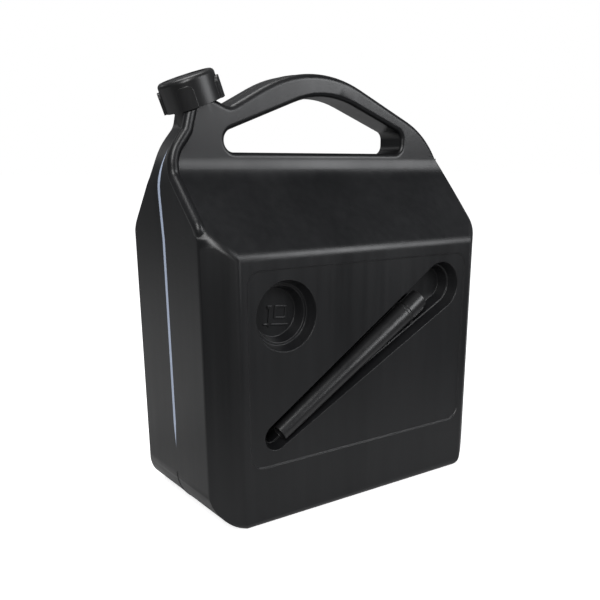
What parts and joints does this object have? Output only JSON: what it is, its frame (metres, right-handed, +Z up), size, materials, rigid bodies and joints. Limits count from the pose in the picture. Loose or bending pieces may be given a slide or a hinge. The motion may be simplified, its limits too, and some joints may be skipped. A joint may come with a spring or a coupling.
{
  "type": "plastic jerrycan",
  "caption": "Blow-moulded plastic fuel can with a tilted screw-cap neck, an arched grip over a finger opening and a tapered pouring spout stored in a slot in its front.",
  "frame": {"origin": "on the surface the can stands on, under the middle of its base", "axes": "+X along the width, from the neck towards the other end; +Y from the front with the spout towards the back; +Z up"},
  "size_m": [0.2974, 0.16, 0.3682],
  "materials": {
    "tank_plastic": "satin",
    "cap_plastic": "satin",
    "seal_rubber": "matt",
    "spout_plastic": "semi-gloss"
  },
  "bodies": {
    "can": {"body": "tank_plastic", "spout": "spout_plastic"},
    "lift": {"cap_seal": "seal_rubber"},
    "turn": {"cap": "cap_plastic"}
  },
  "joints": [
    {"name": "cap_lift", "type": "slide", "parent": "can", "child": "lift", "axis": [-0.342, 0, 0.9397], "range_m": [0, 0.00885]},
    {"name": "cap_turn", "type": "hinge", "parent": "lift", "child": "turn", "pos_m": [-0.1152, 0, 0.3395], "axis": [-0.342, 0, 0.9397], "range_deg": [0, 630]}
  ],
  "couplings": [
    {"joint": "cap_lift", "follows": "cap_turn", "m_per_rad": 0.00079577}
  ]
}
